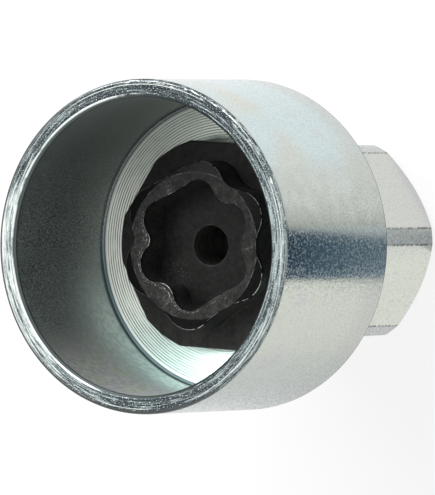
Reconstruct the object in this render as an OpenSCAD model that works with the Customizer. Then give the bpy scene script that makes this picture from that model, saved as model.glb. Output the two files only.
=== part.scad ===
// Key for a locking wheel nut: a plated steel cup with a hexagon drive on its back,
// and a hardened black insert with a coded, lobed collar pressed into the cup's floor.
// Millimetres. It stands on the end of the drive, mouth up, with Z on the turning axis.
// One corner of the drive hexagon lies on the X axis.

/* [Cup] */
// Bore of the cup, which clears the wheel nut
cup_bore_d = 32; // [29:0.5:38]
// Thickness of the cup's wall
cup_wall = 2; // [1.5:0.1:4]
// Depth of the cup, from its rim to its floor
cup_depth = 18; // [14:0.5:28]
// Thickness of the cup's floor
floor_t = 3.7; // [2.5:0.1:6]
// Rounding of the rim's outer edge
rim_round = 0.7; // [0.3:0.1:1]
// Chamfer on the rim's inner edge
rim_chamfer = 0.35; // [0.1:0.05:0.5]
// Fillet in the corner between wall and floor
floor_fillet = 0.4; // [0.2:0.1:1]
// Chamfer on the cup's back edge
back_chamfer = 0.2; // [0.1:0.1:1]

/* [Hexagon drive] */
// Width across the flats of the drive
drive_af = 21; // [19:0.5:24]
// Length of the drive behind the cup
drive_len = 22.3; // [18:0.1:34]
// Amount turned off each sharp corner of the drive
drive_corner_cut = 0.5; // [0.2:0.05:0.8]
// Length of the turned chamfer at the drive's end
drive_chamfer_len = 1.4; // [0.6:0.1:2.5]
// Depth of that chamfer across the radius
drive_chamfer_w = 1.2; // [0.6:0.1:2]

/* [Key insert] */
// Width across the flats of the insert's base
base_af = 22.4; // [20.5:0.2:24]
// Thickness of the base
base_t = 3; // [2:0.1:5]
// Amount turned off each sharp corner of the base
base_corner_cut = 1.2; // [0.4:0.1:1.3]
// Height of the coded collar above the base
collar_h = 4.1; // [3:0.1:8]
// Diameter over the collar's lobes
collar_tip_d = 18.4; // [17.8:0.1:20]
// Radius of each lobe's round tip
collar_lobe_r = 3.1; // [2.6:0.1:3.3]
// Width of the chamfer on the lobes, across the radius
tip_chamfer_w = 1.25; // [0.8:0.05:1.5]
// Height of that chamfer
tip_chamfer_h = 0.25; // [0.1:0.05:1]
// Turn of the insert from the drive's corners, in degrees
key_turn = 22.5; // [0:0.5:60]

/* [Coded socket] */
// Diameter over the lobes of the socket inside the collar
socket_tip_d = 14.3; // [13.2:0.1:14.8]
// Radius of each round lobe of the socket
socket_lobe_r = 2.1; // [1.8:0.1:2.3]
// Depth of the socket
socket_depth = 3.6; // [2.5:0.1:5]
// Hollow between two lobes at code 0
valley_depth = 0.08; // [0.04:0.02:0.2]
// Extra hollow for each step of the code
code_step = 0.3; // [0.15:0.05:0.35]

/* [Fixing] */
// Diameter of the insert's shank, which is pressed into the body
shank_d = 13; // [11:0.5:15]
// Length of the shank below the cup's floor
shank_len = 12; // [8:0.5:15]
// Chamfer that leads the shank in
shank_chamfer = 0.6; // [0.3:0.1:1]
// Free space below the shank's end
seat_relief = 1; // [0.5:0.5:3]
// Gap round the shank, from its radius to the bore's
press_gap = 0.01; // [0:0.005:0.05]
// Diameter of the hole through the insert
insert_hole_d = 4.3; // [3:0.1:6]
// Diameter of the knock-out hole through the drive
knockout_d = 5; // [4:0.1:7]
// Countersink at the knock-out hole's mouth
knockout_chamfer = 0.5; // [0.2:0.1:1]

/* [Hidden] */
$fn = 96;
// Overshoot of cuts, so that no two faces lie in one plane
over = 0.5;
// Overlap of tangent circles, so that lobes and hollows join
blend = 0.002;
lobes = 6;
pitch = 360 / lobes;
// Code of the key: the turn of each lobe from its even place in degrees, and the steps of each hollow
lobe_turn = [2.5, -2.5, 1, -4, -3, 5];
collar_code = [2, 0, 3, 1, 1, 2];
socket_code = [2, 0, 3, 3, 0, 2];
// Heights of the faces, from the drive's end upward
floor_z = drive_len + floor_t;
rim_z = floor_z + cup_depth;
base_z = floor_z + base_t;
collar_z = base_z + collar_h;
seat_z = floor_z - shank_len - seat_relief;
// Radii
bore_r = cup_bore_d / 2;
cup_r = bore_r + cup_wall;
drive_corner_r = drive_af / 2 / cos(30) - drive_corner_cut;
base_corner_r = base_af / 2 / cos(30) - base_corner_cut;
collar_tip_r = collar_tip_d / 2;
shank_r = shank_d / 2;

// Points of an arc about (x, y), from angle a to angle b
function arc(x, y, r, a, b, steps = 6) =
    [for (i = [0 : steps]) let (t = a + (b - a) * i / steps) [x + r * cos(t), y + r * sin(t)]];

// Point at radius r and angle t
function polar(r, t) = [r * cos(t), r * sin(t)];

// Angle of a lobe, counted on past the last one
function lobe_at(k) = k * pitch + lobe_turn[k % lobes];

// Half the angle from a lobe to the next one
function half_gap(k) = (lobe_at(k + 1) - lobe_at(k)) / 2;

// Distance of a hollow's bottom from the axis, for its code step
function valley_r(tip_r, lobe_r, k, code) =
    (tip_r - lobe_r) * cos(half_gap(k)) + lobe_r - valley_depth - code * code_step;

// Radius of a hollow's circle, which touches the lobe circles on both sides
function hollow_r(tip_r, lobe_r, k, v) =
    let (d = tip_r - lobe_r, c = cos(half_gap(k)))
    (d * d + v * v - 2 * d * v * c - lobe_r * lobe_r) / (2 * (lobe_r - v + d * c));

// Closed wave of round lobes, with a hollow of its own depth after each lobe
module coded_outline(tip_r, lobe_r, code) {
    v = [for (k = [0 : lobes - 1]) valley_r(tip_r, lobe_r, k, code[k])];
    h = [for (k = [0 : lobes - 1]) hollow_r(tip_r, lobe_r, k, v[k])];
    difference() {
        polygon([for (k = [0 : lobes - 1])
            each [polar(tip_r - lobe_r, lobe_at(k)), polar(v[k] + h[k], lobe_at(k) + half_gap(k))]]);
        for (k = [0 : lobes - 1])
            translate(polar(v[k] + h[k], lobe_at(k) + half_gap(k))) circle(h[k]);
    }
    for (k = [0 : lobes - 1])
        translate(polar(tip_r - lobe_r, lobe_at(k))) circle(lobe_r + blend);
}

// Hexagonal prism by its width across the flats, one corner on X
module hexagon_bar(af, h) {
    cylinder(r = af / 2 / cos(30), h = h, $fn = 6);
}

// Outside of the cup as a turned profile
module cup_shell() {
    rotate_extrude()
        polygon(concat(
            [[0, drive_len], [cup_r - back_chamfer, drive_len], [cup_r, drive_len + back_chamfer]],
            arc(cup_r - rim_round, rim_z - rim_round, rim_round, 0, 90),
            [[0, rim_z]]));
}

// Space inside the cup as a turned profile
module cup_space() {
    rotate_extrude()
        polygon(concat(
            [[0, floor_z]],
            arc(bore_r - floor_fillet, floor_z + floor_fillet, floor_fillet, -90, 0),
            [[bore_r, rim_z - rim_chamfer], [bore_r + rim_chamfer, rim_z],
             [bore_r + rim_chamfer, rim_z + over], [0, rim_z + over]]));
}

// Hexagon drive with turned corners and a turned chamfer at its end
module drive() {
    intersection() {
        hexagon_bar(drive_af, drive_len + over);
        rotate_extrude()
            polygon([[0, 0], [drive_corner_r - drive_chamfer_w, 0], [drive_corner_r, drive_chamfer_len],
                     [drive_corner_r, drive_len + over], [0, drive_len + over]]);
    }
}

// Cup and hexagon drive, forged and turned as one piece
module cup_body() {
    color("#c6cfc9")
    difference() {
        union() {
            cup_shell();
            drive();
        }
        cup_space();
        translate([0, 0, seat_z]) cylinder(r = shank_r + press_gap, h = floor_z - seat_z + over);
        translate([0, 0, -over]) cylinder(d = knockout_d, h = seat_z + 2 * over);
        translate([0, 0, -over])
            cylinder(r1 = knockout_d / 2 + knockout_chamfer + over, r2 = knockout_d / 2,
                     h = knockout_chamfer + over);
    }
}

// Turned limits of the collar, with a chamfer at its free end that starts at the lobes' tips
module collar_blank() {
    past_tip_z = collar_z - tip_chamfer_h * (1 + over / tip_chamfer_w);
    rotate_extrude()
        polygon([[0, base_z - over], [collar_tip_r + over, base_z - over], [collar_tip_r + over, past_tip_z],
                 [collar_tip_r - tip_chamfer_w, collar_z], [0, collar_z]]);
}

// Coded collar outside, before the socket is sunk in it
module collar() {
    intersection() {
        translate([0, 0, base_z - over])
            linear_extrude(collar_h + over) coded_outline(collar_tip_r, collar_lobe_r, collar_code);
        collar_blank();
    }
}

// Hexagonal base with turned corners; its flats lie below the lobes
module base() {
    rotate(pitch / 2)
        intersection() {
            translate([0, 0, floor_z]) hexagon_bar(base_af, base_t);
            translate([0, 0, floor_z]) cylinder(r = base_corner_r, h = base_t);
        }
}

// Shank below the base, with a lead-in chamfer
module shank() {
    end_z = floor_z - shank_len;
    rotate_extrude()
        polygon([[0, end_z], [shank_r - shank_chamfer, end_z], [shank_r, end_z + shank_chamfer],
                 [shank_r, floor_z + over], [0, floor_z + over]]);
}

// Hardened insert: base, collar with the coded socket, and shank, with a hole right through
module key_insert() {
    color("#26272a")
    rotate(key_turn)
        difference() {
            union() {
                base();
                collar();
                shank();
            }
            translate([0, 0, collar_z - socket_depth])
                linear_extrude(socket_depth + over)
                    coded_outline(socket_tip_d / 2, socket_lobe_r, socket_code);
            translate([0, 0, floor_z - shank_len - over])
                cylinder(d = insert_hole_d, h = shank_len + base_t + collar_h + 2 * over);
        }
}

cup_body();
key_insert();
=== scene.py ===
"""The key for a locking wheel nut: a zinc-plated cup with a hexagon drive, and a black coded insert.

Lengths are in metres, in the part's own frame: Z is the turning axis, the drive's end is at height 0,
and one corner of the drive lies on X. Materials turn Object coordinates into millimetres first.
"""

import math

import bpy
import numpy as np
from mathutils import Matrix, Vector


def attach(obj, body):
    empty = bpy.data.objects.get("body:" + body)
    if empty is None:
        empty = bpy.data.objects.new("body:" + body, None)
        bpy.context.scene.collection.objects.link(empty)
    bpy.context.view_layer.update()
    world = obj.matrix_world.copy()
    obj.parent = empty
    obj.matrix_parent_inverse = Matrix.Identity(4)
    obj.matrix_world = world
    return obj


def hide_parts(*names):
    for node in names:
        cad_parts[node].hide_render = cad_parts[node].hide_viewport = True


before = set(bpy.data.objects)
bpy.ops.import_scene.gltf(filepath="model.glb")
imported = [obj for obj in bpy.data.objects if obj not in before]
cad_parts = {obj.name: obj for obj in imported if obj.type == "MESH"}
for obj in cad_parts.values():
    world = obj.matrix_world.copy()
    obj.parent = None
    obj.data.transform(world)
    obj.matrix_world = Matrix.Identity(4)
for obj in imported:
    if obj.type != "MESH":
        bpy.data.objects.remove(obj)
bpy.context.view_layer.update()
MM = 0.001

# The photograph's view. The key stands upright, so a long lens looks down on it from its right,
# and is turned on its side until the key's axis runs across the picture.
VIEW_AZIMUTH = math.radians(-2.68)
VIEW_ELEVATION = math.radians(59.01)
VIEW_ROLL = math.radians(-91.08)
VIEW_DISTANCE = 1.0748
VIEW_LENS_MM = 720.5
VIEW_AIM = Vector((0, -0.25 * MM, 28.13 * MM))


def stand_camera():
    """Puts the camera on a sphere round the aim, looking in, and turns it about its line of sight."""
    flat = math.cos(VIEW_ELEVATION)
    outward = Vector((flat * math.cos(VIEW_AZIMUTH), flat * math.sin(VIEW_AZIMUTH),
                      math.sin(VIEW_ELEVATION)))
    lens = bpy.data.cameras.new("camera")
    lens.sensor_width = 36
    lens.lens = VIEW_LENS_MM
    lens.clip_end = 10
    camera = bpy.data.objects.new("camera", lens)
    bpy.context.scene.collection.objects.link(camera)
    level = outward.to_track_quat("Z", "Y").to_matrix().to_4x4()
    camera.matrix_world = (Matrix.Translation(VIEW_AIM + outward * VIEW_DISTANCE) @ level
                           @ Matrix.Rotation(VIEW_ROLL, 4, "Z"))
    bpy.context.scene.camera = camera


stand_camera()

# The cup and its hexagon drive: one steel forging, turned all over and zinc plated. The plate is pale
# and mottled outside, dull in the deep bore and rubbed off along the rim. The floor keeps its rings.
BORE_RADIUS_MM = 16
CUP_RADIUS_MM = 18
CUP_BACK_MM = 22.3
FLOOR_HEIGHT_MM = 26
RIM_HEIGHT_MM = 44
RIM_ROUND_MM = 0.7
RIM_CHAMFER_MM = 0.35
CHAMFER_EDGE_MM = BORE_RADIUS_MM + RIM_CHAMFER_MM
FLOOR_FILLET_MM = 0.4
BACK_CHAMFER_MM = 0.2
FLOOR_RINGS = {"first": 11.45, "last": 15.3, "pitch": 0.29, "depth": 0.055, "least": 0.2}
RIM_RINGS = {"first": 16.55, "last": 17.2, "pitch": 0.24, "depth": 0.015, "least": 1.0}
GROOVE_POINTS = ((0, 1), (0.08, 0.9), (0.72, 0.1), (0.80, 0))
FLOOR_EDGE_MM = 15.52
DRIVE_FLAT_MM = 21 / 2
DRIVE_CORNER_CUT_MM = 0.5
DRIVE_CORNER_MM = DRIVE_FLAT_MM / math.cos(math.pi / 6) - DRIVE_CORNER_CUT_MM
CORNER_HALF_ANGLE = math.pi / 6 - math.acos(DRIVE_FLAT_MM / DRIVE_CORNER_MM)
DRIVE_EDGE_MM = 0.012
EDGE_COLUMNS = (-0.6, -0.3, -0.15, 0, 0.15, 0.3, 0.6)
DRIVE_CHAMFER_MM = (1.2, 1.4)
DRIVE_END_MM = DRIVE_CORNER_MM - DRIVE_CHAMFER_MM[0]
SEAT_RADIUS_MM = 6.51
SEAT_HEIGHT_MM = 13
KNOCKOUT_RADIUS_MM = 2.5
COUNTERSINK_MM = 0.5
MINT = (0.595, 0.705, 0.72, 1)
CREAM = (0.62, 0.65, 0.58, 1)
BLOOM_GREY = (0.60, 0.60, 0.60, 1)
STRIPE_REFLECTION_TINT = (0.56, 0.62, 0.635, 1)
BACK_GREY = (0.55, 0.565, 0.535, 1)
OVER_STRIPE_REFLECTION = (0.50, 0.53, 0.50, 1)
BELOW_SHADE = (0.38, 0.42, 0.41, 1)
LOWER_FLAT_REFLECTION = (0.76, 0.79, 0.70, 1)
UPPER_FLAT = (0.62, 0.64, 0.595, 1)
CORNER_DULL_REFLECTION = (0.40, 0.425, 0.425, 1)
CORNER_LIGHT = (0.58, 0.605, 0.59, 1)
END_GREY = (0.55, 0.55, 0.56, 1)
FLOOR_STEEL = (0.96, 0.98, 0.92, 1)
FLOOR_LIP_HIGHLIGHT = (0.95, 0.93, 0.90, 1)
FLOOR_MINT = (0.63, 0.77, 0.72, 1)
FLOOR_TOP_SHADE = (0.56, 0.61, 0.55, 1)
RING_SHADE = (0.12, 0.13, 0.12, 1)
FILLET_SHADE = (0.20, 0.27, 0.28, 1)
BORE_TEAL_LIGHT = (0.76, 0.90, 0.88, 1)
BORE_OLIVE_LIGHT = (0.78, 0.82, 0.74, 1)
BORE_LILAC_LIGHT = (0.80, 0.80, 0.83, 1)
BORE_DULL = (0.24, 0.25, 0.245, 1)
BORE_LIGHT = (0.50, 0.59, 0.57, 1)
RIM_DARK = (0.040, 0.052, 0.058, 1)
RIM_STEEL = (0.36, 0.43, 0.43, 1)
RIM_EDGE_SHADE = (0.09, 0.10, 0.10, 1)
RIM_GLINT_MM = (17.42, 17.74)
CHAMFER_GREY = (0.10, 0.12, 0.12, 1)
RUBBED_AND_GLINT = (0.78, 0.82, 0.80, 1)
EDGE_STAIN = (0.07, 0.07, 0.08, 1)
MATT_GREY = (0.50, 0.53, 0.52, 1)
DOT_GREY = (0.30, 0.32, 0.33, 1)
BORE_SHADE = (0.13, 0.14, 0.14, 1)
WALL_ROUGH = (0.10, 0.40)
BORE_ROUGH = (0.32, 0.62)
TEAL_ROUGH = 0.44
MOTTLED_ROUGH = 0.50
END_CHAMFER_ROUGH = 0.55
RIM_ROUGH = 0.36
FLOOR_ROUGH = (0.25, 0.55)
FILLET_ROUGH = 0.50
PLATE_BUMPS = (0.35, 0.08)
PLATE_GRAIN_MM = 0.03
SHORT_MARKS = 4.0
LONG_MARKS = 0.9


def soften(corners, columns, steps=5, support=1.3):
    """Rounds the corners of a closed profile, for every angle at once.

    A corner is its radius, height, break and wear. It becomes a parabola between the points at the
    break's distance on both sides, with one ring more just outside each end. The break is kept under
    a third of the way to the next corner. The wear rises as a sine over the parabola. A corner with
    no break stays one plain ring.
    """
    places = [np.stack([np.broadcast_to(corner[0], columns), np.broadcast_to(corner[1], columns)], axis=1)
              for corner in corners]
    rings, wear = [], []
    for i, here in enumerate(places):
        size, worn = corners[i][2:]
        if size == 0:
            rings.append(here)
            wear.append(worn)
            continue
        back = places[i - 1] - here
        on = places[(i + 1) % len(places)] - here
        far_back = np.linalg.norm(back, axis=1, keepdims=True) + 1e-6
        far_on = np.linalg.norm(on, axis=1, keepdims=True) + 1e-6
        back = back / far_back * np.minimum(size, far_back / 3)
        on = on / far_on * np.minimum(size, far_on / 3)
        rings.append(here + back * support)
        wear.append(0.0)
        for u in np.linspace(0, 1, steps):
            rings.append(here + back * (1 - u) ** 2 + on * u ** 2)
            wear.append(worn * math.sin(math.pi * u))
        rings.append(here + on * support)
        wear.append(0.0)
    return np.stack(rings, axis=1), np.array(wear)


def carry_round(name, turn, rings, wear):
    """A closed skin: each column of the grid is the profile at one angle, which is given in degrees.

    The point of a profile's radius and height lies at radius times cosine, radius times sine, height.
    """
    columns, rows = rings.shape[:2]
    angle = np.radians(turn)[:, None]
    radius, height = rings[..., 0], rings[..., 1]
    points = np.stack([radius * np.cos(angle), radius * np.sin(angle), height], axis=-1)
    column, row = np.meshgrid(np.arange(columns), np.arange(rows), indexing="ij")
    next_column = (column + 1) % columns
    next_row = (row + 1) % rows
    quads = np.stack([column * rows + row, column * rows + next_row,
                      next_column * rows + next_row, next_column * rows + row], axis=-1).reshape(-1, 4)
    mesh = bpy.data.meshes.new(name)
    mesh.from_pydata((points.reshape(-1, 3) * MM).tolist(), [], quads.tolist())
    mesh.polygons.foreach_set("use_smooth", np.ones(len(quads), dtype=bool))
    edge = mesh.attributes.new("edge", "FLOAT", "POINT")
    edge.data.foreach_set("value", np.tile(wear, columns).astype(np.float32))
    piece = bpy.data.objects.new(name, mesh)
    bpy.context.scene.collection.objects.link(piece)
    return piece


def turned_rings(turn, height, first, last, pitch, depth, least):
    """Plain profile points of a turned face, which rises slowly from each groove and drops at once.

    A groove's points are given as offsets in pitches and shares of the depth. The depth falls from its
    full value on the left of the photograph to the least share on its right.
    """
    leftness = (0.5 - 0.5 * np.cos(np.radians(turn))) ** 2
    deep = depth * (least + (1 - least) * leftness)
    return [(radius + off * pitch, height - deep * low, 0, 0) for radius in np.arange(first, last, pitch)
            for off, low in GROOVE_POINTS]


def drive_outline(turn):
    """A hexagon with its corners cut off by a circle, blended so that the two meet in a soft edge.

    The blend is the smaller of both radii, as minus the logarithm of the summed exponentials.
    """
    flat = DRIVE_FLAT_MM / np.cos(np.radians(turn % 60 - 30))
    return -DRIVE_EDGE_MM * np.logaddexp(-flat / DRIVE_EDGE_MM, -DRIVE_CORNER_MM / DRIVE_EDGE_MM)


def make_cup():
    """The cup and drive as one closed skin, with closer columns over the edges of the drive's corners."""
    edges = 60 * np.arange(6)[:, None] + math.degrees(CORNER_HALF_ANGLE) * np.array([-1, 1])
    close = edges[..., None] + np.array(EDGE_COLUMNS)
    turn = np.unique(np.round(np.concatenate([np.arange(360.0), close.ravel()]) % 360, 3))
    hexagon = drive_outline(turn)
    width, rise = DRIVE_CHAMFER_MM
    # Radius, height, break and wear, from the knock-out hole up, over the rim and down to the drive's end.
    corners = [
        (KNOCKOUT_RADIUS_MM + COUNTERSINK_MM, 0, 0.05, 0),
        (KNOCKOUT_RADIUS_MM, COUNTERSINK_MM, 0.05, 0),
        (KNOCKOUT_RADIUS_MM, SEAT_HEIGHT_MM, 0.02, 0),
        (SEAT_RADIUS_MM, SEAT_HEIGHT_MM, 0.02, 0),
        (SEAT_RADIUS_MM, FLOOR_HEIGHT_MM, 0.05, 0),
        *turned_rings(turn, FLOOR_HEIGHT_MM, **FLOOR_RINGS),
        (BORE_RADIUS_MM, FLOOR_HEIGHT_MM, FLOOR_FILLET_MM, 0),
        (BORE_RADIUS_MM, RIM_HEIGHT_MM - RIM_CHAMFER_MM, 0.08, 0.6),
        (CHAMFER_EDGE_MM, RIM_HEIGHT_MM, 0.08, 0.8),
        *turned_rings(turn, RIM_HEIGHT_MM, **RIM_RINGS),
        (CUP_RADIUS_MM, RIM_HEIGHT_MM, RIM_ROUND_MM, 1),
        (CUP_RADIUS_MM, CUP_BACK_MM + BACK_CHAMFER_MM, 0.05, 1),
        (CUP_RADIUS_MM - BACK_CHAMFER_MM, CUP_BACK_MM, 0.05, 1),
        (hexagon, CUP_BACK_MM, 0.15, 0),
        (hexagon, (hexagon - DRIVE_END_MM) * rise / width, 0.12, 0.8),
        (DRIVE_END_MM, 0, 0.10, 0.8)]
    rings, wear = soften(corners, len(turn))
    return carry_round("plated_cup", turn, rings, wear)


def put(tree, kind, inputs=None, **settings):
    """Adds a node, sets its settings, and joins or sets its inputs by name or number."""
    node = tree.nodes.new(kind)
    for name, value in settings.items():
        setattr(node, name, value)
    for name, value in (inputs or {}).items():
        if isinstance(value, bpy.types.NodeSocket):
            tree.links.new(value, node.inputs[name])
        else:
            node.inputs[name].default_value = value
    return node


def new_material(name):
    """An empty node material, with its Principled shader already on the output."""
    material = bpy.data.materials.new(name)
    material.use_nodes = True
    tree = material.node_tree
    tree.nodes.clear()
    shader = put(tree, "ShaderNodeBsdfPrincipled")
    put(tree, "ShaderNodeOutputMaterial", {"Surface": shader.outputs[0]})
    return material, tree, shader


def maths(tree, operation, first, second=0.0):
    """One step of arithmetic on one or two numbers."""
    return put(tree, "ShaderNodeMath", {0: first, 1: second}, operation=operation).outputs[0]


def distance(tree, value, middle):
    """How far a number lies from a middle value, whatever the side."""
    return maths(tree, "ABSOLUTE", maths(tree, "SUBTRACT", value, middle))


def ramp(tree, value, low, high):
    """Rises smoothly from 0 at low to 1 at high, or falls where low is the larger one."""
    node = put(tree, "ShaderNodeMapRange", {"Value": value, "From Min": low, "From Max": high},
               interpolation_type="SMOOTHSTEP")
    return node.outputs["Result"]


def all_of(tree, *masks):
    """The product of several masks. A plain number among them weakens the result to that share."""
    product = masks[0]
    for mask in masks[1:]:
        product = maths(tree, "MULTIPLY", product, mask)
    return product


def blend(tree, mask, under, over):
    """Lays one colour over another where the mask is 1."""
    node = put(tree, "ShaderNodeMix", {0: mask}, data_type="RGBA")
    for socket, value in ((node.inputs[6], under), (node.inputs[7], over)):
        if isinstance(value, bpy.types.NodeSocket):
            tree.links.new(value, socket)
        else:
            socket.default_value = value
    return node.outputs[2]


def shift(tree, mask, under, over):
    """Moves a number from one value to another as the mask rises to 1."""
    return put(tree, "ShaderNodeMix", {0: mask, 2: under, 3: over}, data_type="FLOAT").outputs[0]


def clouds(tree, place, scale, detail=2.0, rough=0.5):
    """Plain noise about 0.5, with its scale in features per millimetre."""
    node = put(tree, "ShaderNodeTexNoise",
               {"Vector": place, "Scale": scale, "Detail": detail, "Roughness": rough})
    return node.outputs["Fac"]


def speck_group():
    """Small round specks at random: noise whose highest parts are kept, as a mask."""
    group = bpy.data.node_groups.new("specks", "ShaderNodeTree")
    for name, kind in (("Place", "NodeSocketVector"), ("Scale", "NodeSocketFloat"),
                       ("Level", "NodeSocketFloat")):
        group.interface.new_socket(name, in_out="INPUT", socket_type=kind)
    group.interface.new_socket("Mask", in_out="OUTPUT", socket_type="NodeSocketFloat")
    given = put(group, "NodeGroupInput")
    noise = clouds(group, given.outputs["Place"], given.outputs["Scale"], 1.0)
    above = maths(group, "ADD", given.outputs["Level"], 0.08)
    put(group, "NodeGroupOutput", {"Mask": ramp(group, noise, given.outputs["Level"], above)})
    return group


SPECKS = speck_group()


def specks(tree, place, scale, level):
    """The share of the surface that lies in specks falls as the level rises from 0.5 to 0.8."""
    node = put(tree, "ShaderNodeGroup", node_tree=SPECKS)
    tree.links.new(place, node.inputs["Place"])
    node.inputs["Scale"].default_value = scale
    node.inputs["Level"].default_value = level
    return node.outputs["Mask"]


def place_in_mm(tree):
    """Object coordinates in millimetres, and with them the height, the radius and the angle."""
    seen = put(tree, "ShaderNodeTexCoord").outputs["Object"]
    place = put(tree, "ShaderNodeVectorMath", {0: seen, "Scale": 1 / MM}, operation="SCALE").outputs[0]
    part = put(tree, "ShaderNodeSeparateXYZ", {0: place})
    flat = put(tree, "ShaderNodeCombineXYZ", {0: part.outputs[0], 1: part.outputs[1]})
    radius = put(tree, "ShaderNodeVectorMath", {0: flat.outputs[0]}, operation="LENGTH").outputs["Value"]
    angle = maths(tree, "ARCTAN2", part.outputs[1], part.outputs[0])
    return place, part.outputs[2], radius, angle


def turned_place(tree, height, radius, angle, along):
    """A place for the marks of turning: fast across the skin, and slow round the axis.

    Its first number is the radius less the height, which grows all the way along the profile. The
    other two go round a circle whose radius is the last value, so a smaller one gives longer marks.
    """
    across = maths(tree, "SUBTRACT", radius, height)
    node = put(tree, "ShaderNodeCombineXYZ", {
        0: across,
        1: maths(tree, "MULTIPLY", maths(tree, "COSINE", angle), along),
        2: maths(tree, "MULTIPLY", maths(tree, "SINE", angle), along)})
    return node.outputs[0]


def plate_material():
    """Zinc plate, in zones by radius and height: wall, rim, bore, floor and drive."""
    material, tree, shader = new_material("zinc_plate")
    place, height, radius, angle = place_in_mm(tree)
    arcs = turned_place(tree, height, radius, angle, SHORT_MARKS)

    # Zones: each mask rises within a few tenths of a millimetre of an edge of the form.
    floor = all_of(tree, ramp(tree, radius, FLOOR_EDGE_MM + 0.10, FLOOR_EDGE_MM + 0.04),
                   ramp(tree, height, FLOOR_HEIGHT_MM + 0.25, FLOOR_HEIGHT_MM + 0.05),
                   ramp(tree, height, FLOOR_HEIGHT_MM - 0.3, FLOOR_HEIGHT_MM - 0.1))
    bore = all_of(tree, ramp(tree, radius, BORE_RADIUS_MM + 0.1, BORE_RADIUS_MM + 0.02),
                  ramp(tree, radius, FLOOR_EDGE_MM + 0.04, FLOOR_EDGE_MM + 0.10),
                  ramp(tree, height, FLOOR_HEIGHT_MM - 0.3, FLOOR_HEIGHT_MM - 0.1))
    rim = ramp(tree, height, RIM_HEIGHT_MM - 0.60, RIM_HEIGHT_MM - 0.35)
    drive = ramp(tree, height, CUP_BACK_MM - 0.02, CUP_BACK_MM - 0.1)
    wall = ramp(tree, height, CUP_BACK_MM + 0.02, CUP_BACK_MM + 0.12)

    # Across runs from -1 on the photograph's left to 1 on its right, and upward from below to above.
    across = maths(tree, "COSINE", angle)
    upward = maths(tree, "SINE", angle)
    to_left = ramp(tree, across, -0.05, -0.85)

    # Plate colour: soft patches of two tints with a grey bloom, duller toward the back, with painted shade
    # below. On the right the dark stripe has a painted reflection tint of its own, and the wall over it is
    # greyer with painted reflection.
    sideways = maths(tree, "MULTIPLY", upward, 0.5)
    patches = maths(tree, "SUBTRACT", clouds(tree, place, 0.10, 1.0), sideways)
    tint = blend(tree, ramp(tree, patches, 0.02, 0.34), MINT, CREAM)
    bloom = all_of(tree, ramp(tree, clouds(tree, place, 0.20, 3.0), 0.52, 0.76),
                   ramp(tree, upward, 0.95, 0.60))
    tint = blend(tree, bloom, tint, BLOOM_GREY)
    toward_back = all_of(tree, ramp(tree, height, CUP_BACK_MM + 6, CUP_BACK_MM + 1), 0.7)
    tint = blend(tree, toward_back, tint, BACK_GREY)
    # Painted shade on the lower side of the cup's wall.
    shade_below = all_of(tree, ramp(tree, upward, -0.55, -1.0), wall)
    tint = blend(tree, shade_below, tint, BELOW_SHADE)
    facing = all_of(tree, wall, ramp(tree, across, 0.0, 0.5))
    # Painted reflection: the wall above the stripe, on the right, is greyer.
    over = all_of(tree, facing, ramp(tree, upward, 0.60, 0.20), ramp(tree, upward, -0.10, 0.08),
                  shift(tree, ramp(tree, clouds(tree, place, 0.45, 3.0), 0.35, 0.65), 0.5, 1.0))
    tint = blend(tree, over, tint, OVER_STRIPE_REFLECTION)
    # Painted reflection: a bluish tint over the dark stripe that the card casts in the wall on the right.
    stripe_reflection = all_of(tree, facing, ramp(tree, upward, 0.075, 0.02), ramp(tree, upward, -0.256, -0.246))
    tint = blend(tree, stripe_reflection, tint, STRIPE_REFLECTION_TINT)
    # Drive: the lower flats are paler, a painted reflection of the white table. The upper side is greyer
    # near the end, and the end face takes the upper flats' colour.
    flats = blend(tree, ramp(tree, upward, 0.05, -0.30), UPPER_FLAT, LOWER_FLAT_REFLECTION)
    near_end = all_of(tree, ramp(tree, height, 2.8, 0.6), ramp(tree, upward, -0.10, 0.10))
    flats = blend(tree, near_end, flats, END_GREY)
    flats = blend(tree, ramp(tree, height, 0.06, 0.02), flats, UPPER_FLAT)
    tint = blend(tree, all_of(tree, drive, 0.85), tint, flats)

    # Grain: matt spots, closer together toward the back, and a few faint dark dots.
    grain = clouds(tree, place, 3.0, 3.0, 0.6)
    more_behind = all_of(tree, ramp(tree, height, RIM_HEIGHT_MM - 6, CUP_BACK_MM + 2), 0.05)
    matt = ramp(tree, maths(tree, "ADD", clouds(tree, place, 3.6, 4.0, 0.7), more_behind), 0.46, 0.62)
    colour = blend(tree, ramp(tree, grain, 0.52, 0.15), tint, MATT_GREY)
    dots = all_of(tree, specks(tree, place, 5.0, 0.68), ramp(tree, upward, 0.6, 0.2), 0.12)
    colour = blend(tree, dots, colour, DOT_GREY)

    # Bore: dull, with a fine grain of matt specks and painted shade above. Painted light lies on its lower
    # part: teal toward the floor, and mottled olive and lilac toward the mouth, for light that comes back
    # off the wall many times.
    bore_grain = ramp(tree, clouds(tree, place, 6.5, 3.0, 0.7), 0.42, 0.60)
    dull = blend(tree, bore_grain, BORE_DULL, BORE_LIGHT)
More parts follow.
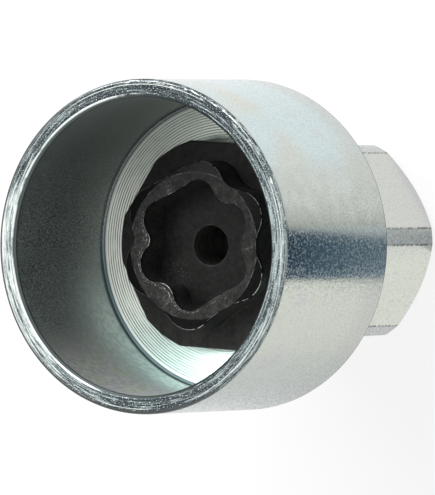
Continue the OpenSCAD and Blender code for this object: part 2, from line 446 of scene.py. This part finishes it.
    # Painted light on the bore's lower side: teal near the floor, olive and lilac nearer the mouth.
    teal_light = all_of(tree, ramp(tree, upward, 0.10, -0.50),
                  ramp(tree, height, FLOOR_HEIGHT_MM + 15, FLOOR_HEIGHT_MM + 1))
    dull = blend(tree, teal_light, dull, BORE_TEAL_LIGHT)
    light_beside = all_of(tree, ramp(tree, upward, -0.42, -0.85),
                    ramp(tree, height, FLOOR_HEIGHT_MM + 3, FLOOR_HEIGHT_MM + 10))
    bore_patches = ramp(tree, clouds(tree, place, 0.35, 3.0, 0.6), 0.40, 0.60)
    dull = blend(tree, light_beside, dull, blend(tree, bore_patches, BORE_OLIVE_LIGHT, BORE_LILAC_LIGHT))
    waves = ramp(tree, clouds(tree, place, 1.5, 4.0, 0.65), 0.62, 0.36)
    lit = all_of(tree, maths(tree, "MAXIMUM", teal_light, light_beside), waves, 0.35)
    dull = blend(tree, lit, dull, BORE_DULL)
    # Painted shade on the bore's upper side.
    above = all_of(tree, ramp(tree, upward, 0.0, 0.8), 0.50)
    colour = blend(tree, bore, colour, blend(tree, above, dull, BORE_SHADE))

    # Floor: bright turned steel with a thin dark line in each ring, greyer toward the top with painted
    # shade, a painted highlight on the lip where it ends, and a shaded fillet beyond it. Both fade out
    # toward the top.
    first, pitch = FLOOR_RINGS["first"], FLOOR_RINGS["pitch"]
    rings_in = maths(tree, "DIVIDE", maths(tree, "SUBTRACT", radius, first - pitch / 2), pitch)
    phase = maths(tree, "FRACT", rings_in)
    off_ring = distance(tree, phase, 0.5)
    broken = ramp(tree, clouds(tree, arcs, 1.6, 2.0), 0.30, 0.60)
    ringed = ramp(tree, radius, FLOOR_EDGE_MM, FLOOR_EDGE_MM - 0.08)
    line = all_of(tree, floor, ringed, ramp(tree, off_ring, 0.26, 0.10), shift(tree, broken, 0.45, 1.0),
                  shift(tree, to_left, 0.25, 1.0))
    steel = blend(tree, ramp(tree, upward, -0.35, -0.85), FLOOR_STEEL, FLOOR_MINT)
    # Painted shade: the floor turns grey toward its upper side.
    steel = blend(tree, ramp(tree, upward, 0.25, 0.90), steel, FLOOR_TOP_SHADE)
    colour = blend(tree, floor, colour, steel)
    colour = blend(tree, line, colour, RING_SHADE)
    # Painted highlight along the lip, fading out toward the upper side.
    off_lip = distance(tree, radius, FLOOR_EDGE_MM)
    lip_highlight = all_of(tree, ramp(tree, off_lip, 0.10, 0.05), floor, ramp(tree, upward, 0.6, 0.0))
    colour = blend(tree, lip_highlight, colour, FLOOR_LIP_HIGHLIGHT)
    fillet = all_of(tree, bore, ramp(tree, height, FLOOR_HEIGHT_MM + 0.8, FLOOR_HEIGHT_MM + 0.3),
                    ramp(tree, upward, 0.35, -0.15))
    colour = blend(tree, fillet, colour, FILLET_SHADE)

    # Rim: bare steel with long scratches round it, its dark tone partly a painted reflection. Painted
    # light makes it lighter toward the sides, most on the left, and painted shade darkest above and below.
    # A painted highlight runs along the inner chamfer on its left, broken ones along the outer rounding,
    # and painted shade lies on the rounding's last part on the left.
    long_arcs = turned_place(tree, height, radius, angle, LONG_MARKS)
    # Painted light: the rim is lighter toward the sides and darker above and below.
    lit_sides = all_of(tree, maths(tree, "ABSOLUTE", across), shift(tree, to_left, 0.12, 0.17),
                      shift(tree, ramp(tree, upward, 0.25, 0.75), 1.0, 0.35))
    scratch = maths(tree, "ADD", clouds(tree, long_arcs, 4.6, 4.0, 0.8), lit_sides)
    bare = blend(tree, ramp(tree, scratch, 0.52, 0.70), RIM_DARK, RIM_STEEL)
    # Painted light: the scratches on the left are lighter.
    left_scratch_light = all_of(tree, to_left, ramp(tree, scratch, 0.62, 0.72), ramp(tree, upward, 0.85, 0.35), 0.8)
    bare = blend(tree, left_scratch_light, bare, RUBBED_AND_GLINT)
    bare = blend(tree, all_of(tree, specks(tree, place, 6.5, 0.60), 0.6), bare, RUBBED_AND_GLINT)
    chamfered = ramp(tree, radius, CHAMFER_EDGE_MM - 0.01, CHAMFER_EDGE_MM - 0.07)
    bare = blend(tree, chamfered, bare, CHAMFER_GREY)
    # Painted highlight along the inner chamfer, on the left.
    off_edge = distance(tree, radius, CHAMFER_EDGE_MM + 0.01)
    turned_up = maths(tree, "SUBTRACT", across, all_of(tree, upward, 0.25))
    line = all_of(tree, ramp(tree, off_edge, 0.13, 0.08), ramp(tree, turned_up, -0.12, -0.30),
                  ramp(tree, clouds(tree, arcs, 1.2, 3.0), 0.36, 0.46))
    bare = blend(tree, line, bare, RUBBED_AND_GLINT)
    # Painted highlight on the outer rounding, strongest toward the lamp.
    to_lamp = ramp(tree, maths(tree, "ADD", across, upward), 0.6, 1.3)
    rounding_glint = all_of(tree, ramp(tree, radius, CUP_RADIUS_MM - RIM_ROUND_MM, CUP_RADIUS_MM - 0.5),
                      shift(tree, to_lamp, 0.20, 0.7), specks(tree, arcs, 3.8, 0.58))
    bare = blend(tree, rounding_glint, bare, RUBBED_AND_GLINT)
    # Painted highlight lines on the outer rounding, at these radii, stronger on the right.
    for glint in RIM_GLINT_MM:
        off_glint = distance(tree, radius, glint)
        line = all_of(tree, ramp(tree, off_glint, 0.05, 0.02), shift(tree, to_left, 1.0, 0.5),
                      ramp(tree, clouds(tree, long_arcs, 1.1, 3.0, 0.7), 0.44, 0.58))
        bare = blend(tree, line, bare, RUBBED_AND_GLINT)
    # Painted shade on the outer part of the rounding, on the left and lower left.
    edge_shade = all_of(tree, ramp(tree, radius, CUP_RADIUS_MM - 0.42, CUP_RADIUS_MM - 0.30),
                     ramp(tree, maths(tree, "ADD", across, all_of(tree, upward, 0.4)), 0.30, -0.30))
    bare = blend(tree, edge_shade, bare, RIM_EDGE_SHADE)
    colour = blend(tree, rim, colour, bare)

    # Back edge and drive: a thin stain along the cup's edge and along each side of the drive's corners,
    # which are turned and duller than its flats, their darker tone partly a painted reflection of the
    # shaded table.
    back = all_of(tree, ramp(tree, radius, CUP_RADIUS_MM - 0.3, CUP_RADIUS_MM - 0.15),
                  ramp(tree, height, CUP_BACK_MM + 0.36, CUP_BACK_MM + 0.24))
    sector = maths(tree, "PINGPONG", angle, math.pi / 6)
    side = all_of(tree, drive, ramp(tree, radius, DRIVE_CORNER_MM - 0.30, DRIVE_CORNER_MM - 0.15))
    corner = all_of(tree, side, ramp(tree, sector, CORNER_HALF_ANGLE + 0.004, CORNER_HALF_ANGLE - 0.004))
    # The corners' darker tone is partly a painted reflection of the shaded table.
    corner_tone = blend(tree, ramp(tree, grain, 0.36, 0.62), CORNER_DULL_REFLECTION, CORNER_LIGHT)
    colour = blend(tree, corner, colour, corner_tone)
    off_line = distance(tree, sector, CORNER_HALF_ANGLE)
    stain = all_of(tree, side, ramp(tree, off_line, 0.016, 0.004),
                   ramp(tree, clouds(tree, place, 2.4, 3.0), 0.34, 0.58), 0.75)
    colour = blend(tree, maths(tree, "MAXIMUM", back, stain), colour, EDGE_STAIN)

    # End chamfer of the drive: a cone, told from the flats by how low it lies for its radius.
    width, rise = DRIVE_CHAMFER_MM
    cone = all_of(tree, maths(tree, "SUBTRACT", radius, DRIVE_END_MM), rise / width)
    chamfer = all_of(tree, drive, ramp(tree, maths(tree, "SUBTRACT", height, cone), 0.10, 0.04),
                     ramp(tree, height, 0.02, 0.08))
    colour = blend(tree, chamfer, colour, BLOOM_GREY)

    # Roughness goes zone by zone, and the grain stands up least on the floor.
    smooth = maths(tree, "MAXIMUM", floor, all_of(tree, maths(tree, "MAXIMUM", bore, rim), 0.5))
    bump = put(tree, "ShaderNodeBump", {"Strength": shift(tree, smooth, *PLATE_BUMPS),
                                        "Distance": PLATE_GRAIN_MM * MM, "Height": grain})
    bore_rough = shift(tree, teal_light, shift(tree, bore_grain, *BORE_ROUGH), TEAL_ROUGH)
    bore_rough = shift(tree, light_beside, bore_rough, MOTTLED_ROUGH)
    rough = shift(tree, matt, *WALL_ROUGH)
    rough = shift(tree, chamfer, rough, END_CHAMFER_ROUGH)
    rough = shift(tree, bore, rough, bore_rough)
    rough = shift(tree, rim, rough, RIM_ROUGH)
    rough = shift(tree, floor, rough, shift(tree, to_left, *FLOOR_ROUGH))
    rough = shift(tree, fillet, rough, FILLET_ROUGH)
    tree.links.new(colour, shader.inputs["Base Color"])
    tree.links.new(rough, shader.inputs["Roughness"])
    tree.links.new(bump.outputs[0], shader.inputs["Normal"])
    shader.inputs["Metallic"].default_value = 1
    return material


cup = make_cup()
cup.data.materials.append(plate_material())
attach(cup, "root")
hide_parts("cup_body")

# The insert: hardened steel, blacked in an oxide bath and pressed into the cup's floor. Its collar and
# socket are waves of six round lobes, coded by each lobe's turn and each hollow's depth. The black is
# worn off along the edges and speckled off the face, most on the side that meets the nut first.
KEY_TURN = 22.5
LOBE_TURNS = (2.5, -2.5, 1, -4, -3, 5)
COLLAR_MM = {"tip": 9.2, "lobe": 3.1, "code": (2, 0, 3, 1, 1, 2)}
SOCKET_MM = {"tip": 7.15, "lobe": 2.1, "code": (2, 0, 3, 3, 0, 2)}
LEAST_HOLLOW_MM = 0.08
CODE_STEP_MM = 0.3
BASE_FLATS_MM = 22.4
BASE_CORNER_CUT_MM = 1.2
BASE_CORNER_MM = BASE_FLATS_MM / 2 / math.cos(math.pi / 6) - BASE_CORNER_CUT_MM
BASE_THICKNESS_MM = 3
COLLAR_HEIGHT_MM = 4.1
SOCKET_DEPTH_MM = 3.6
BASE_TOP_MM = FLOOR_HEIGHT_MM + BASE_THICKNESS_MM
COLLAR_TOP_MM = BASE_TOP_MM + COLLAR_HEIGHT_MM
SOCKET_FLOOR_MM = COLLAR_TOP_MM - SOCKET_DEPTH_MM
TIP_CHAMFER_MM = (1.25, 0.25)
FACE_RADIUS_MM = COLLAR_MM["tip"] - TIP_CHAMFER_MM[0]
COLLAR_BREAK_MM = 0.12
FACE_WEAR = ((0.2, 0.55), (0.35, 0.32), (0.55, 0.16), (0.8, 0.22))
SHANK_MM = 6.5
SHANK_LENGTH_MM = 12
SHANK_END_MM = FLOOR_HEIGHT_MM - SHANK_LENGTH_MM
SHANK_CHAMFER_MM = 0.6
HOLE_MM = 2.15
BLACK = (0.014, 0.014, 0.0135, 1)
BLACK_WORN = (0.026, 0.026, 0.025, 1)
BLACK_RUBBED = (0.042, 0.042, 0.041, 1)
FACE_DARK = (0.019, 0.019, 0.018, 1)
BASE_WORN = (0.034, 0.034, 0.032, 1)
CHIPPED = (0.13, 0.13, 0.124, 1)
WORN_STEEL = (0.55, 0.55, 0.53, 1)
LOBE_BLACK = (0.002, 0.002, 0.002, 1)
LOBE_RUBBED = (0.006, 0.006, 0.006, 1)
WALL_BLACK = (0.020, 0.020, 0.019, 1)
WALL_RUBBED = (0.046, 0.046, 0.044, 1)
HOLE_RUBBED = (0.06, 0.06, 0.056, 1)
OXIDE_ROUGH = 0.30
WORN_ROUGH = 0.28
OXIDE_SPECULAR = 0.08
OXIDE_BUMPS = 0.8
OXIDE_GRAIN_MM = 0.02
BORED_MARKS = 0.6
STRUCK_SIDE = (-0.80, -0.60, 0.0)
CHIPPED_CORNER_MM = (-4.6, -2.6, SOCKET_FLOOR_MM)
SOCKET_SIDE_MM = 7.6
COLLAR_SIDE_MM = 8.0


def coded_wave(turn, tip, lobe, code):
    """Radius of the wave at each angle in degrees.

    Lobe circles of radius lobe lie at the distance tip - lobe. Between two of them lies a hollow
    circle, centred half way round, that touches both and comes in to its coded depth.
    """
    lobe_at = np.append(60 * np.arange(6) + np.array(LOBE_TURNS), 360 + LOBE_TURNS[0])
    place = (turn - KEY_TURN - lobe_at[0]) % 360 + lobe_at[0]
    k = np.clip(np.searchsorted(lobe_at, place, side="right") - 1, 0, 5)
    half = np.radians(lobe_at[k + 1] - lobe_at[k]) / 2
    off = np.abs(np.radians(place - lobe_at[k]) - half)
    reach = tip - lobe
    bottom = reach * np.cos(half) + lobe - LEAST_HOLLOW_MM - CODE_STEP_MM * np.array(code)[k]
    hollow = ((reach ** 2 + bottom ** 2 - 2 * reach * bottom * np.cos(half) - lobe ** 2)
              / (2 * (lobe - bottom + reach * np.cos(half))))
    centre = bottom + hollow
    along = centre - reach * np.cos(half)
    across = reach * np.sin(half)
    share = lobe / np.hypot(along, across)
    touch = np.arctan2(across * (1 - share), reach * np.cos(half) + along * share)
    past = half - off
    on_lobe = reach * np.cos(past) + np.sqrt(np.maximum(lobe ** 2 - (reach * np.sin(past)) ** 2, 0))
    on_hollow = centre * np.cos(off) - np.sqrt(np.maximum(hollow ** 2 - (centre * np.sin(off)) ** 2, 0))
    return np.where(off > touch, on_lobe, on_hollow)


def base_outline(turn):
    """A hexagon with a flat under each even lobe place, cut off at the corners by a circle."""
    off = (turn - KEY_TURN + 30) % 60 - 30
    return np.minimum(BASE_FLATS_MM / 2 / np.cos(np.radians(off)), BASE_CORNER_MM)


def make_insert(columns=720):
    """The insert as one closed skin, with plain rings on the collar's face that carry the wear inwards.

    Each plain ring is given as its share of the way out from the socket, and its wear.
    """
    turn = np.arange(columns) * 360 / columns
    collar = coded_wave(turn, **COLLAR_MM)
    socket = coded_wave(turn, **SOCKET_MM)
    base = base_outline(turn)
    width, drop = TIP_CHAMFER_MM
    face_edge = np.minimum(collar - COLLAR_BREAK_MM, FACE_RADIUS_MM)
    lobe_drop = np.maximum(collar - FACE_RADIUS_MM, 0) * drop / width
    face = [(socket + (face_edge - socket) * share, COLLAR_TOP_MM, 0, worn) for share, worn in FACE_WEAR]
    # Radius, height, break and wear, from the hole's lower end up, over the collar and down the shank.
    corners = [
        (HOLE_MM, SHANK_END_MM, 0.05, 0),
        (HOLE_MM, SOCKET_FLOOR_MM, 0.12, 0.5),
        (socket, SOCKET_FLOOR_MM, 0.08, 0),
        (socket, COLLAR_TOP_MM, 0.12, 0.85),
        *face,
        (face_edge, COLLAR_TOP_MM, 0.04, 0.3),
        (collar, COLLAR_TOP_MM - lobe_drop, COLLAR_BREAK_MM, 1),
        (collar, BASE_TOP_MM, 0.10, 0),
        (base, BASE_TOP_MM, 0.16, 0.45),
        (base, FLOOR_HEIGHT_MM, 0.05, 0),
        (SHANK_MM, FLOOR_HEIGHT_MM, 0.02, 0),
        (SHANK_MM, SHANK_END_MM + SHANK_CHAMFER_MM, 0.02, 0),
        (SHANK_MM - SHANK_CHAMFER_MM, SHANK_END_MM, 0.02, 0)]
    rings, wear = soften(corners, columns)
    return carry_round("coded_insert", turn, rings, wear)


def black_material():
    """Black oxide: near black, greyer where it is rubbed, and bare steel on worn edges and in specks."""
    material, tree, shader = new_material("black_oxide")
    place, height, radius, angle = place_in_mm(tree)
    edge = put(tree, "ShaderNodeAttribute", attribute_name="edge").outputs["Fac"]
    aside = put(tree, "ShaderNodeVectorMath", {0: place, 1: STRUCK_SIDE}, operation="DOT_PRODUCT")
    struck = ramp(tree, aside.outputs["Value"], -4.0, 8.0)
    patchy = clouds(tree, place, 0.9, 4.0, 0.6)
    fine = clouds(tree, place, 6.0, 3.0, 0.7)

    # Oxide: mottled everywhere, and rubbed grey in patches on the collar's face. It is blackest on the
    # lobes' chamfers, and greyer again on the upright walls and in the hole.
    face = ramp(tree, height, COLLAR_TOP_MM - 0.05, COLLAR_TOP_MM - 0.01)
    mottled = ramp(tree, clouds(tree, place, 1.6, 5.0, 0.7), 0.35, 0.70)
    colour = blend(tree, mottled, BLACK, BLACK_WORN)
    on_top = ramp(tree, height, BASE_TOP_MM + 0.2, BASE_TOP_MM + 0.05)
    colour = blend(tree, all_of(tree, on_top, ramp(tree, patchy, 0.30, 0.60)), colour, BASE_WORN)
    face_wear = maths(tree, "ADD", clouds(tree, place, 1.4, 6.0, 0.8), all_of(tree, struck, 0.03))
    face_tone = blend(tree, ramp(tree, face_wear, 0.40, 0.64), FACE_DARK, BLACK_RUBBED)
    colour = blend(tree, face, colour, face_tone)
    rubbed = ramp(tree, clouds(tree, place, 2.4, 5.0, 0.75), 0.36, 0.66)
    lobes = all_of(tree, ramp(tree, radius, FACE_RADIUS_MM, FACE_RADIUS_MM + 0.10),
                   ramp(tree, height, COLLAR_TOP_MM - 0.6, COLLAR_TOP_MM - 0.4))
    colour = blend(tree, lobes, colour, blend(tree, rubbed, LOBE_BLACK, LOBE_RUBBED))
    walls = all_of(tree, ramp(tree, height, COLLAR_TOP_MM - 0.5, COLLAR_TOP_MM - 0.9),
                   ramp(tree, height, SOCKET_FLOOR_MM + 0.1, SOCKET_FLOOR_MM + 0.4))
    colour = blend(tree, walls, colour, blend(tree, rubbed, WALL_BLACK, WALL_RUBBED))
    hole = ramp(tree, radius, HOLE_MM + 0.2, HOLE_MM + 0.05)
    bored = clouds(tree, turned_place(tree, height, radius, angle, BORED_MARKS), 2.2, 3.0, 0.7)
    hole_tone = blend(tree, ramp(tree, bored, 0.42, 0.62), BLACK_WORN, HOLE_RUBBED)
    colour = blend(tree, hole, colour, hole_tone)

    # Dust and fine chips: in clusters on the face, most on the struck side, and in one corner of the
    # socket's floor and on the base there.
    near_struck = maths(tree, "ADD", all_of(tree, edge, 0.14), 0.08)
    near = shift(tree, struck, all_of(tree, edge, 0.12), near_struck)
    cluster = maths(tree, "SUBTRACT", clouds(tree, place, 0.60, 2.0), 0.5)
    near = maths(tree, "ADD", near, all_of(tree, cluster, 0.56))
    chips = all_of(tree, face, ramp(tree, maths(tree, "ADD", fine, near), 0.64, 0.82))
    corner = put(tree, "ShaderNodeVectorMath", {0: place, 1: CHIPPED_CORNER_MM}, operation="DISTANCE")
    dusty = all_of(tree, ramp(tree, corner.outputs["Value"], 2.6, 0.6), ramp(tree, fine, 0.56, 0.68))
    chips = maths(tree, "MAXIMUM", chips, dusty)
    on_base = all_of(tree, on_top, ramp(tree, aside.outputs["Value"], 1.0, 7.0))
    chips = maths(tree, "MAXIMUM", chips, all_of(tree, on_base, ramp(tree, fine, 0.60, 0.76)))
    colour = blend(tree, chips, colour, CHIPPED)

    # Edges: a thin grey line round the face, and bare steel where the collar and socket are knocked.
    off_line = distance(tree, radius, FACE_RADIUS_MM)
    line = all_of(tree, ramp(tree, off_line, 0.08, 0.02),
                  ramp(tree, height, COLLAR_TOP_MM - 0.06, COLLAR_TOP_MM - 0.02),
                  ramp(tree, patchy, 0.46, 0.62), 0.8)
    colour = blend(tree, line, colour, CHIPPED)
    outside = ramp(tree, radius, SOCKET_SIDE_MM, COLLAR_SIDE_MM)
    on_outside = maths(tree, "ADD", all_of(tree, struck, 0.06), 0.10)
    knocks = maths(tree, "ADD", patchy, shift(tree, outside, all_of(tree, struck, 0.10), on_outside))
    ragged = all_of(tree, maths(tree, "SUBTRACT", fine, 0.5), 1.2)
    knocked = maths(tree, "ADD", maths(tree, "ADD", edge, all_of(tree, struck, 0.15)), ragged)
    bare = all_of(tree, ramp(tree, knocked, 0.60, 0.90), ramp(tree, knocks, 0.54, 0.62),
                  ramp(tree, height, BASE_TOP_MM + 0.5, BASE_TOP_MM + 1.0))
    colour = blend(tree, bare, colour, WORN_STEEL)

    grain = put(tree, "ShaderNodeBump", {"Strength": OXIDE_BUMPS, "Distance": OXIDE_GRAIN_MM * MM,
                                         "Height": clouds(tree, place, 3.0, 4.0, 0.6)})
    tree.links.new(colour, shader.inputs["Base Color"])
    tree.links.new(bare, shader.inputs["Metallic"])
    tree.links.new(shift(tree, bare, OXIDE_ROUGH, WORN_ROUGH), shader.inputs["Roughness"])
    tree.links.new(grain.outputs[0], shader.inputs["Normal"])
    shader.inputs["Specular IOR Level"].default_value = OXIDE_SPECULAR
    return material


insert = make_insert()
insert.data.materials.append(black_material())
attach(insert, "root")
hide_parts("key_insert")

# The studio: a white table that the key stands on, under an even white sky, with one large lamp. A low
# dark card that only mirrors see gives the cup's wall the dark stripe of the photograph. The table lies
# just below the drive's end, so that the two faces don't share a plane.
WHITE = (1, 1, 1, 1)
UNLIT = (0, 0, 0, 1)
TABLE_HALF = 3.0
TABLE_DROP = 0.00002
TABLE_GREY = 0.8
SHADOW_SHARE = 0.2
CARD_HEIGHT = 0.0004
CARD_REACH = (11.2, 24.0, 32.0, 60.0)
CARD_DARK_SIDE = (-1.4, -7.0, -11.0, -23.1)
CARD_FADED_SIDE = (2.4, 8.4, 9.8, 38.0)
CARD_FADE = (0.68, 0.70, 0.67, 1)
CARD_FADE_STARTS = (0.54, 0.64)
CARD_WHITE_STARTS = (0.62, 1.0)
CARD_STEPS = 48
CARD_TONES = ((0.0, (0.50, 0.53, 0.54, 1)), (0.20, (0.70, 0.72, 0.72, 1)),
              (0.40, (0.11, 0.175, 0.22, 1)), (0.56, (0.08, 0.135, 0.18, 1)),
              (0.68, (0.010, 0.030, 0.058, 1)))
SKY_STRENGTH = 0.6
LAMP_PLACE = (-0.20, 0.42, 0.45)
LAMP_SIZE = 0.60
LAMP_POWER = 4.5


def plainly_seen(tree):
    """1 for the rays from the camera, from mirrors and through glass, and 0 for all others."""
    path = put(tree, "ShaderNodeLightPath").outputs
    bent = maths(tree, "MAXIMUM", path["Is Glossy Ray"], path["Is Transmission Ray"])
    return maths(tree, "MAXIMUM", path["Is Camera Ray"], bent)


def lay_table():
    """A flat square under the key, white where a camera or a mirror sees it, less a faint shadow."""
    mesh = bpy.data.meshes.new("table")
    side = TABLE_HALF
    mesh.from_pydata([(-side, -side, 0), (side, -side, 0), (side, side, 0), (-side, side, 0)],
                     [], [(0, 1, 2, 3)])
    mesh.transform(Matrix.Translation((0, 0, -TABLE_DROP)))
    table = bpy.data.objects.new("table", mesh)
    bpy.context.scene.collection.objects.link(table)
    material, tree, shader = new_material("table_white")
    seen = plainly_seen(tree)
    grey = shift(tree, seen, TABLE_GREY, SHADOW_SHARE)
    colour = put(tree, "ShaderNodeCombineColor", {0: grey, 1: grey, 2: grey}).outputs[0]
    glow = maths(tree, "MULTIPLY", seen, 1 - SHADOW_SHARE)
    tree.links.new(colour, shader.inputs["Base Color"])
    tree.links.new(glow, shader.inputs["Emission Strength"])
    shader.inputs["Emission Color"].default_value = WHITE
    shader.inputs["Roughness"].default_value = 1
    shader.inputs["Specular IOR Level"].default_value = 0
    mesh.materials.append(material)


def lay_dark_card():
    """A low card beside the key, which only mirrors see: dark on one side, fading out on the other.

    It is a strip of steps outwards. Its sides follow the lines on the table that the wall's stripe
    reflects, and are given in millimetres at four distances outwards. Its own map runs outwards first,
    and from the dark side second.
    """
    share = np.repeat(np.linspace(0, 1, CARD_STEPS), 2)
    out = CARD_REACH[0] + (CARD_REACH[-1] - CARD_REACH[0]) * share
    faded = np.arange(2 * CARD_STEPS) % 2
    aside = np.where(faded, np.interp(out, CARD_REACH, CARD_FADED_SIDE),
                     np.interp(out, CARD_REACH, CARD_DARK_SIDE))
    points = np.stack([out * MM, aside * MM, np.full_like(out, CARD_HEIGHT)], axis=-1)
    quads = 2 * np.arange(CARD_STEPS - 1)[:, None] + np.array([0, 2, 3, 1])
    mesh = bpy.data.meshes.new("dark_card")
    mesh.from_pydata(points.tolist(), [], quads.tolist())
    mesh.transform(Matrix.Rotation(VIEW_AZIMUTH, 4, "Z"))
    spread = mesh.uv_layers.new(name="spread")
    corners = np.stack([share, faded], axis=-1)[quads.ravel()]
    spread.data.foreach_set("uv", corners.ravel().astype(np.float32))
    card = bpy.data.objects.new("dark_card", mesh)
    bpy.context.scene.collection.objects.link(card)
    card.visible_camera = False
    card.visible_diffuse = False
    card.visible_shadow = False
    material, tree, shader = new_material("card_dark")
    spread_map = put(tree, "ShaderNodeUVMap", uv_map="spread").outputs[0]
    outwards, across = put(tree, "ShaderNodeSeparateXYZ", {0: spread_map}).outputs[:2]
    tones = put(tree, "ShaderNodeValToRGB", {0: outwards})
    stops = tones.color_ramp.elements
    while len(stops) < len(CARD_TONES):
        stops.new(1.0)
    for stop, (position, tone) in zip(stops, CARD_TONES):
        stop.position = position
        stop.color = tone
    colour = blend(tree, ramp(tree, across, *CARD_FADE_STARTS), tones.outputs[0], CARD_FADE)
    colour = blend(tree, ramp(tree, across, *CARD_WHITE_STARTS), colour, WHITE)
    tree.links.new(colour, shader.inputs["Emission Color"])
    shader.inputs["Emission Strength"].default_value = 1
    shader.inputs["Base Color"].default_value = UNLIT
    shader.inputs["Specular IOR Level"].default_value = 0
    mesh.materials.append(material)


def light_world(strength):
    """An even white sky. Cameras and mirrors see it as plain white."""
    world = bpy.data.worlds.new("studio")
    bpy.context.scene.world = world
    world.use_nodes = True
    tree = world.node_tree
    seen = plainly_seen(tree)
    tree.nodes["Background"].inputs["Color"].default_value = WHITE
    tree.links.new(shift(tree, seen, strength, 1.0), tree.nodes["Background"].inputs["Strength"])


def hang_lamp(name, place, size, power):
    """A square soft lamp that faces the cup."""
    lamp = bpy.data.lights.new(name, "AREA")
    lamp.shape = "SQUARE"
    lamp.size = size
    lamp.energy = power
    holder = bpy.data.objects.new(name, lamp)
    holder.location = place
    holder.rotation_euler = (Vector(place) - VIEW_AIM).to_track_quat("Z", "Y").to_euler()
    bpy.context.scene.collection.objects.link(holder)


lay_table()
lay_dark_card()
light_world(SKY_STRENGTH)
hang_lamp("key_lamp", LAMP_PLACE, LAMP_SIZE, LAMP_POWER)
bpy.context.scene.view_settings.view_transform = "Standard"
